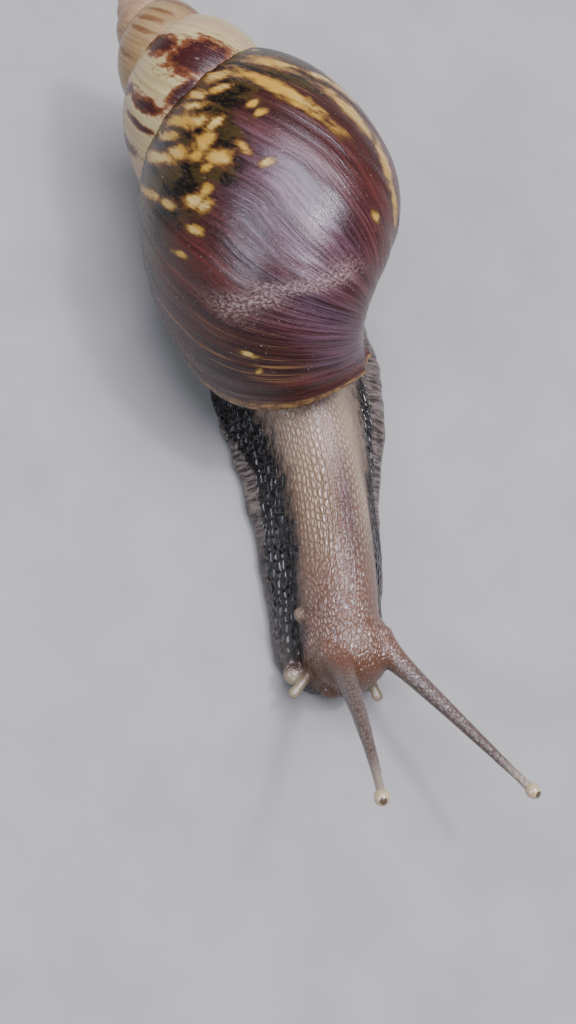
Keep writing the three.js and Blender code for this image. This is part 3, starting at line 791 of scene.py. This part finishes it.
def body_surface(values, left, angle, detail=1.0):
    """The body's upper side as half rings: an arch over a flat sole, flared into the foot's edge
    by a bell curve of the arch's height, pinched below the back, and rippled along the edge."""
    x, y, foot, back, height, lean = (values[:, [i]] for i in range(6))
    arch, cosine = np.sin(angle)[None, :], np.cos(angle)[None, :]
    side = np.where(cosine > 0, 3.5, 9.5)
    ripple = 0.34 * value_noise(y / 3.4, side, 31) + 0.22 * value_noise(y / 1.4, side, 32)
    edge = foot + detail * ripple * np.minimum(1, foot / 8)
    pinch = bell(arch, 0.52, 0.15) * smoothstep(34.0, 40.0, y)
    pinch = pinch * (1.1 * smoothstep(66.0, 50.0, y) + 0.3)
    flare = (edge - back) * np.exp(-((arch / 0.30) ** 2))
    across = cosine * (back + flare - pinch) + lean * arch
    rim = np.minimum(1.1, height * 0.4)
    swell = 0.45 * bell(arch, 0.10, 0.07) * np.minimum(1, foot / 8)
    level = rim + (height - rim) * arch ** 1.3 + swell
    return np.stack([x + left[:, [0]] * across, y + left[:, [1]] * across, level], -1)


def body_solid():
    """The body's upper side closed by a flat sole."""
    values, left = body_sizes(320)
    upper = body_surface(values, left, np.linspace(0, math.pi, 84))
    share = np.linspace(0, 1, 26)[None, 1:-1, None]
    sole = upper[:, [-1]] * (1 - share) + upper[:, [0]] * share
    sole[..., 2] = 0.0
    return closed_loft(np.concatenate([upper, sole], 1))


def ellipsoid(centre, radii, rows=24, columns=36):
    """Points and faces of an ellipsoid as rings of latitude."""
    rise = np.linspace(-math.pi / 2, math.pi / 2, rows)[1:-1, None]
    turn = np.linspace(0, 2 * math.pi, columns, endpoint=False)[None, :]
    level = np.cos(rise)
    ball = np.stack([level * np.cos(turn), level * np.sin(turn), np.sin(rise) + 0 * turn], -1)
    return closed_loft(np.asarray(centre) + ball * np.asarray(radii))


def feeler_line(root, tip, bend, count):
    """Points and directions of a feeler: a parabola through its root and tip."""
    share = np.linspace(0, 1, count)[:, None]
    root, tip = np.asarray(root), np.asarray(tip)
    middle = (root + tip) / 2 + np.asarray(bend)
    points = (1 - share) ** 2 * root + 2 * share * (1 - share) * middle + share ** 2 * tip
    return points, unit(np.gradient(points, axis=0))


def feeler_radius(share):
    """Upper tentacle's radius from root (0) to tip (1): a taper, a flare at the root, and what
    smoothing takes off the skin, most of it at the tip."""
    radius = UPPER_RADIUS + UPPER_GAIN * (1 - share) ** UPPER_POWER
    radius = radius + UPPER_FLARE * np.exp(-share / FLARE_SHARE)
    return radius + 0.08 + 0.3 * np.exp(-(1 - share) / 0.03)


def feeler_axes(slopes):
    """Sideways and upward directions across a feeler's line."""
    across = unit(np.cross(slopes, (0.0, 0.0, 1.0)))
    return across, np.cross(across, slopes)


def tube(points, slopes, radii):
    """Points and faces of a round tube along a line."""
    across, over = feeler_axes(slopes)
    turn = np.linspace(0, 2 * math.pi, 24, endpoint=False)[None, :, None]
    ring = across[:, None] * np.cos(turn) + over[:, None] * np.sin(turn)
    return closed_loft(points[:, None] + ring * np.asarray(radii)[:, None, None])


def collar_solid():
    """The mantle collar: the aperture's section shrunk inside the wall, between two depths."""
    across = np.concatenate([np.linspace(0.02, 1.0, 48), np.linspace(1.04, 1.18, 5)])
    growing, crossing = np.meshgrid(np.linspace(*COLLAR_DEPTHS, 6), across, indexing="ij")
    outer = shell_points(turns_back(growing), crossing, np.full_like(growing, -COLLAR_GAP))
    return closed_loft(outer)


def skin_solids():
    """Every closed form that the skin is drawn over."""
    solids = [body_solid(), ellipsoid(HEAD_CENTRE, HEAD_RADII), collar_solid(),
              ellipsoid(BIRTH_PORE, PORE_RADII, 14, 20)]
    solids += [ellipsoid(centre, LIP_RADII, 16, 24) for centre in LIPS]
    for side in SIDES:
        points, slopes = feeler_line(*UPPER_FEELERS[side], 80)
        solids.append(tube(points, slopes, feeler_radius(np.linspace(0, 1, 80))))
        root, tip = LOWER_FEELERS[side]
        points, slopes = feeler_line(root, tip, (0.0, 0.0, 0.0), 24)
        solids.append(tube(points, slopes, np.full(24, LOWER_RADIUS + 0.1)))
        solids.append(ellipsoid(tip, (LOWER_BULB + 0.15,) * 3, 14, 20))
        solids.append(ellipsoid(LAPPETS[side], LAPPET_RADII, 18, 24))
    return solids


def joined(solids):
    """Several closed forms as one list of points and faces."""
    points, faces, count = [], [], 0
    for part_points, part_faces in solids:
        points.append(part_points)
        faces += [[corner + count for corner in face] for face in part_faces]
        count += len(part_points)
    return np.concatenate(points), faces


def drawn_over(piece, voxel, rounds):
    """Wraps a piece in one closed skin of even faces and smooths its joins."""
    remesh = piece.modifiers.new("one skin", "REMESH")
    remesh.mode = "VOXEL"
    remesh.voxel_size = voxel * MM
    smooth = piece.modifiers.new("soft joins", "SMOOTH")
    smooth.factor = 0.5
    smooth.iterations = rounds
    depsgraph = bpy.context.evaluated_depsgraph_get()
    mesh = bpy.data.meshes.new_from_object(piece.evaluated_get(depsgraph))
    old = piece.data
    piece.modifiers.clear()
    piece.data = mesh
    bpy.data.meshes.remove(old)
    mesh.name = piece.name


def make_skin(settings):
    """One skin over head, neck, trunk, tail, foot, collar and feelers."""
    piece = new_object("skin", *joined(skin_solids()))
    drawn_over(piece, settings.voxel, settings.smoothing)
    points = vertices(piece.data) / MM + PLAN_MIDDLE
    height = points[:, 2]
    points[:, 2] = np.maximum(np.where(height < SOLE_BAND, height * 0.3, height), 0.0)
    colour_skin(piece, points)
    piece.data.vertices.foreach_set("co", ((points - PLAN_MIDDLE) * MM).astype(np.float32).ravel())
    return piece


# Vertices that are compared with the whole body at one time, to spare memory.
CHUNK = 6000

# Nothing further back than this is on a tentacle.
FEELER_REACH = 42.0


def finest(distance, scale):
    """Value of scale where the squared distance of each row is least, read between samples by a
    parabola through the three lowest, and the nearest sample's number."""
    nearest = np.clip(distance.argmin(1), 1, distance.shape[1] - 2)
    rows = np.arange(len(distance))
    before, here, after = (distance[rows, nearest + step] for step in (-1, 0, 1))
    shift = np.clip(0.5 * (before - after) / np.maximum(before - 2 * here + after, 1e-9), -1, 1)
    scale = np.broadcast_to(scale, distance.shape)
    slope = (scale[rows, nearest + 1] - scale[rows, nearest - 1]) / 2
    return scale[rows, nearest] + shift * slope, nearest


def body_chart(points):
    """Millimetres along the body from the snout, millimetres round it from the middle of the back
    (left is positive), and half the girth there, for points near its skin."""
    values, left = body_sizes(700)
    run = np.concatenate([[0], np.cumsum(np.linalg.norm(np.diff(values[:, :2], axis=0), axis=1))])
    rings = body_surface(values, left, np.linspace(0, math.pi, 97), detail=0.0)
    steps = np.linalg.norm(np.diff(rings, axis=1), axis=2)
    arcs = np.concatenate([np.zeros((len(rings), 1)), np.cumsum(steps, 1)], 1)
    arcs = arcs[:, [arcs.shape[1] // 2]] - arcs
    along, around, girth = [], [], []
    for start in range(0, len(points), CHUNK):
        part = points[start:start + CHUNK]
        gap = ((part[:, None, :2] - values[None, :, :2]) ** 2).sum(-1)
        here, nearest = finest(gap, run)
        along.append(here)
        gap = ((part[:, None] - rings[nearest]) ** 2).sum(-1)
        around.append(finest(gap, arcs[nearest])[0])
        girth.append(arcs[nearest, 0])
    return np.concatenate(along), np.concatenate(around), np.concatenate(girth)


def feeler_chart(points):
    """Share of being on an upper tentacle, and millimetres along it and across its two axes."""
    on = np.zeros(len(points))
    chart = np.zeros((len(points), 3))
    for side in SIDES:
        line, slopes = feeler_line(*UPPER_FEELERS[side], 160)
        near = np.flatnonzero(points[:, 1] < FEELER_REACH)
        gap = ((points[near, None] - line[None]) ** 2).sum(-1)
        share, nearest = finest(gap, np.linspace(0, 1, 160))
        ratio = np.sqrt(gap[np.arange(len(near)), nearest]) / feeler_radius(share)
        here = smoothstep(1.7, 1.2, ratio) * smoothstep(0.08, 0.30, share)
        across, over = feeler_axes(slopes)
        rest = points[near] - line[nearest]
        length = np.linalg.norm(line[-1] - line[0])
        own = np.stack([share * length, (rest * across[nearest]).sum(1), (rest * over[nearest]).sum(1)], -1)
        better = here > on[near]
        on[near[better]] = here[better]
        chart[near[better]] = own[better]
    return on, chart


def near_to(points, centre, low, high):
    """1 within the low distance of a point, 0 beyond the high one."""
    return smoothstep(high, low, np.linalg.norm(points - np.asarray(centre), axis=1))


def colour_skin(piece, points):
    """Keeps each vertex's place on the body and its share of each colour zone. Zones begin and
    end at millimetres along the body or shares of the half girth, bent a little by noise."""
    along, around, girth = body_chart(points)
    feeler, chart = feeler_chart(points)
    height = points[:, 2]
    store(piece, "lie", along, around, height)
    store(piece, "stalk", *chart.T)

    wander = 0.05 * value_noise(along / 4.0, around / 3.0, 21)
    wander = wander + 0.07 * value_noise(along / 0.9, around / 0.9, 22)
    right = -around / girth + wander
    left = around / girth + wander
    inner = 0.80 + 0.07 * smoothstep(34.0, 22.0, along)
    skirt = smoothstep(inner, inner + 0.06, np.abs(around) / girth + 0.3 * wander)
    front = smoothstep(3.6, 2.6, height) * smoothstep(9.0, 5.0, along)
    fringe = np.maximum(skirt, front) * (1 - feeler)
    flank = np.maximum(smoothstep(*RIGHT_FLANK, right), smoothstep(*LEFT_FLANK, left))
    flank = flank * smoothstep(1.5, 6.0, along)
    store(piece, "zones", fringe, flank, feeler)

    median = bell(around, 1.3, 1.9) * smoothstep(6.0, 14.0, along) * smoothstep(60.0, 46.0, along)
    pale = np.maximum(bell(around, 6.2, 2.6) * smoothstep(17.0, 27.0, along),
                      0.7 * bell(around, -4.6, 2.2) * smoothstep(12.0, 26.0, along))
    head = smoothstep(25.0, 9.0, along)
    store(piece, "tints", median, pale * smoothstep(70.0, 56.0, along), head)

    # Painted shade: the neck's sides darken towards the flanks, most in the crease above the foot's lobe.
    shadow = 0.50 * smoothstep(0.28, 0.50, right) + 0.35 * smoothstep(0.42, 0.60, left)
    painted_shade = np.maximum(0.9 * bell(right, 0.55, 0.04), shadow) * smoothstep(4.0, 8.0, along)
    tips = 0.45 * near_to(points, BIRTH_PORE, 0.8, 1.5)
    ahead = smoothstep(36.5, 35.0, points[:, 1])
    for side in SIDES:
        tips = np.maximum(tips, near_to(points, LOWER_FEELERS[side][1], 1.6, 4.0))
        tips = np.maximum(tips, near_to(points, LAPPETS[side], 1.5, 2.4) * ahead)
    coarse = np.maximum(flank, smoothstep(62.0, 70.0, along))
    store(piece, "shades", painted_shade, tips, coarse)
    store(piece, "lobe", smoothstep(14.0, 5.0, along) * smoothstep(0.66, 0.78, right))


def make_eye(side):
    """A tentacle's tip: a ball drawn out a little along it, with the eye as a dark spot."""
    root, tip, bend = UPPER_FEELERS[side]
    points, faces = ellipsoid(tip, (EYE_BULB,) * 3, 40, 56)
    _, slopes = feeler_line(root, tip, bend, 20)
    ahead = (points - np.asarray(tip)) @ slopes[-1]
    points = points + 0.12 * ahead[:, None] * slopes[-1]
    piece = new_object(f"eye_bulb_{side}", points, faces)
    gaze = unit(slopes[-1] + np.array([0.0, 0.0, 0.75]))
    toward = (points - np.asarray(tip)) @ gaze / EYE_BULB
    store(piece, "pupil", 0.85 * smoothstep(0.95, 0.99, toward))
    return piece


# ---- studio

# The camera stands above this corner of the animal's plan and leans this far from the vertical.
CAMERA_PLAN = np.array([0.0, 0.0])
LEAN_LEFT = math.radians(10.0)
LEAN_BACK = math.radians(19.0)

SENSOR_WIDTH = 36.0

# The floor's side in metres.
FLOOR_SIDE = 6.0

# Name, place and target in metres, diameter, power in watts and colour of each lamp.
LAMPS = [
    ("overhead_sky", (0.18, 0.14, 1.20), (0.0, 0.03, 0.02), 1.20, 38.0, "#eceaff"),
    ("glint", (0.16, 0.02, 0.50), (0.0, -0.02, 0.02), 0.06, 1.0, "#ffffff"),
    ("left_sky", (-0.34, -0.16, 0.36), (0.0, -0.03, 0.0), 0.18, 1.3, "#e2eaff"),
]


def aim(holder, place, back):
    """Puts a camera or lamp at a place, its back to a direction and its right side level."""
    back = unit(np.asarray(back))
    right = unit(np.cross((0.0, 1.0, 0.0), back))
    matrix = np.eye(4)
    matrix[:3] = np.stack([right, np.cross(back, right), back, place], 1)
    holder.matrix_world = Matrix(matrix.tolist())


def make_camera(settings):
    """A camera above the head, tilted towards the tail and the animal's left side."""
    camera = bpy.data.cameras.new("camera")
    camera.sensor_width = SENSOR_WIDTH
    camera.lens = SENSOR_WIDTH / 2 / math.tan(settings.view_angle / 2)
    camera.clip_start = 0.005
    holder = linked("camera", camera)
    x, y = (CAMERA_PLAN - PLAN_MIDDLE[:2]) * MM
    aim(holder, (x, y, settings.height), (-math.tan(LEAN_LEFT), -math.tan(LEAN_BACK), 1.0))
    bpy.context.scene.camera = holder


def make_lamp(name, place, target, diameter, power, colour):
    """A round area light aimed at a point."""
    light = bpy.data.lights.new(name, "AREA")
    light.energy = power
    light.color = linear(colour)[:3]
    light.shape = "DISK"
    light.size = diameter
    aim(linked(name, light), place, np.subtract(place, target))


def make_studio(settings):
    """A wide pale floor, an overcast sky and the lamps."""
    corners = np.array([[-1, -1, 0], [1, -1, 0], [1, 1, 0], [-1, 1, 0]]) * FLOOR_SIDE / 2
    floor = new_object("floor", corners / MM + PLAN_MIDDLE, [[0, 1, 2, 3]])
    floor.data.materials.append(floor_material(settings))
    world = bpy.data.worlds.new("overcast")
    world.use_nodes = True
    world.node_tree.nodes.clear()
    sky = add_node(world.node_tree, "glow", Color="#dfe6ee", Strength=settings.sky)
    add_node(world.node_tree, "world", sky)
    bpy.context.scene.world = world
    for lamp in LAMPS:
        make_lamp(*lamp)


# ---- operators

class SNAIL_OT_shell(Operator):
    """Builds the spiral shell as one piece"""
    bl_idname = "snail.shell"
    bl_label = "Shell"

    def execute(self, context):
        settings = context.scene.snail_shell
        dress(make_shell(settings), shell_material(settings), SHELL_NODES)
        return {"FINISHED"}


class SNAIL_OT_skin(Operator):
    """Builds the soft body under one skin"""
    bl_idname = "snail.skin"
    bl_label = "Skin"

    def execute(self, context):
        settings = context.scene.snail_skin
        dress(make_skin(settings), skin_material(settings), SKIN_NODES)
        return {"FINISHED"}


class SNAIL_OT_eyes(Operator):
    """Builds the two eye bulbs"""
    bl_idname = "snail.eyes"
    bl_label = "Eyes"

    def execute(self, context):
        material = bulb_material()
        for side in SIDES:
            dress(make_eye(side), material, [f"eye_{side}"])
        return {"FINISHED"}


class SNAIL_OT_studio(Operator):
    """Builds the floor, lights and camera"""
    bl_idname = "snail.studio"
    bl_label = "Studio"

    def execute(self, context):
        make_studio(context.scene.snail_studio)
        make_camera(context.scene.snail_studio)
        return {"FINISHED"}


class SNAIL_PT_panel(Panel):
    """Lists the snail's steps"""
    bl_idname = "SNAIL_PT_panel"
    bl_label = "Giant African land snail"
    bl_space_type = "VIEW_3D"
    bl_region_type = "UI"
    bl_category = "Snail"

    def draw(self, context):
        for group, operator in PANEL_ROWS:
            box = self.layout.box()
            for name in group.__annotations__:
                box.prop(getattr(context.scene, GROUPS[group]), name)
            box.operator(operator)
        self.layout.operator("snail.eyes")


GROUPS = {SnailShell: "snail_shell", SnailSkin: "snail_skin", SnailStudio: "snail_studio"}
PANEL_ROWS = [(SnailShell, "snail.shell"), (SnailSkin, "snail.skin"), (SnailStudio, "snail.studio")]
CLASSES = [*GROUPS, SNAIL_OT_shell, SNAIL_OT_skin, SNAIL_OT_eyes, SNAIL_OT_studio, SNAIL_PT_panel]


def register():
    """Makes the classes and settings known to Blender."""
    for item in CLASSES:
        bpy.utils.register_class(item)
    for group, name in GROUPS.items():
        setattr(bpy.types.Scene, name, PointerProperty(type=group))


def unregister():
    """Takes the classes and settings away again."""
    for name in GROUPS.values():
        delattr(bpy.types.Scene, name)
    for item in reversed(CLASSES):
        bpy.utils.unregister_class(item)


def main():
    """Builds everything."""
    register()
    bpy.ops.snail.studio()
    bpy.ops.snail.shell()
    bpy.ops.snail.skin()
    bpy.ops.snail.eyes()


if __name__ == "__main__":
    main()
